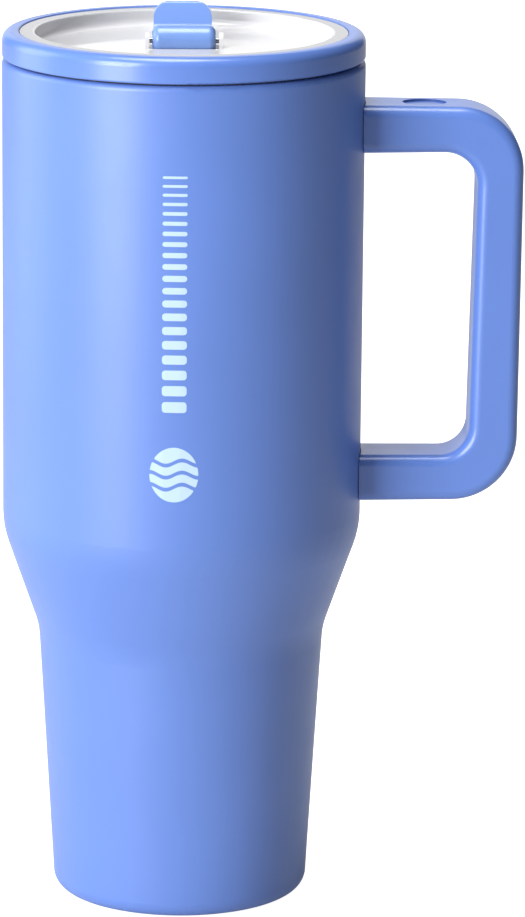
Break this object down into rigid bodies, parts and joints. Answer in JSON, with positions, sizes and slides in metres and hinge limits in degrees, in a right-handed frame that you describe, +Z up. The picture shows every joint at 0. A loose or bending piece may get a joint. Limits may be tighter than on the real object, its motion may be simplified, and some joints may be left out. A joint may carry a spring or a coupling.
{
  "type": "insulated travel tumbler",
  "caption": "Double-wall tumbler with a stepped foot, a closed side handle and a screw lid with a clear dish, a flip spout and a straw.",
  "frame": {"origin": "centre of the base, on the cup's axis, at floor level", "axes": "+Z up along the cup's axis, +X towards the handle, +Y the way the folded spout points"},
  "size_m": [0.1459, 0.1016, 0.2523],
  "materials": {
    "powder_coat": "satin powder coat with a very fine texture",
    "blue_plastic": "smooth satin",
    "spout_plastic": "smooth satin, a lighter moulding than the collar",
    "handle_plastic": "satin",
    "bare_steel": "brushed",
    "pin_steel": "polished",
    "clear_plastic": "clear gloss",
    "frosted_plastic": "frosted translucent",
    "straw_plastic": "clear",
    "grey_silicone": "matt",
    "white_silicone": "matt translucent",
    "sealing_glass": "glazed bead",
    "getter_metal": "dull"
  },
  "bodies": {
    "cup": {"outer_shell": "powder_coat", "inner_liner": "bare_steel", "base_disc": "bare_steel", "vacuum_seal": "sealing_glass", "vacuum_getter": "getter_metal", "base_pad": "grey_silicone", "handle": "handle_plastic", "handle_bracket_upper": "bare_steel", "handle_bracket_lower": "bare_steel", "handle_screws": "bare_steel", "screw_plug_upper": "handle_plastic", "screw_plug_lower": "handle_plastic"},
    "straw": {"straw": "straw_plastic"},
    "lid": {"lid_collar": "blue_plastic", "lid_top": "clear_plastic", "threaded_plug": "frosted_plastic", "lid_gasket": "grey_silicone", "spout_seal": "white_silicone", "straw_connector": "white_silicone", "vent_valve": "white_silicone", "hinge_pin_left": "pin_steel", "hinge_pin_right": "pin_steel"},
    "spout": {"spout": "spout_plastic"}
  },
  "joints": [
    {"name": "lid_rise", "type": "slide", "parent": "cup", "child": "straw", "axis": [0, 0, 1], "range_m": [0, 0.016]},
    {"name": "lid_turn", "type": "hinge", "parent": "straw", "child": "lid", "pos_m": [0, 0, 0.2408], "axis": [0, 0, 1], "range_deg": [0, 360]},
    {"name": "spout_flip", "type": "hinge", "parent": "lid", "child": "spout", "pos_m": [0, 0, 0.2451], "axis": [1, 0, 0], "range_deg": [0, 90]}
  ],
  "couplings": [
    {"joint": "lid_rise", "follows": "lid_turn", "m_per_rad": 0.0025465}
  ]
}
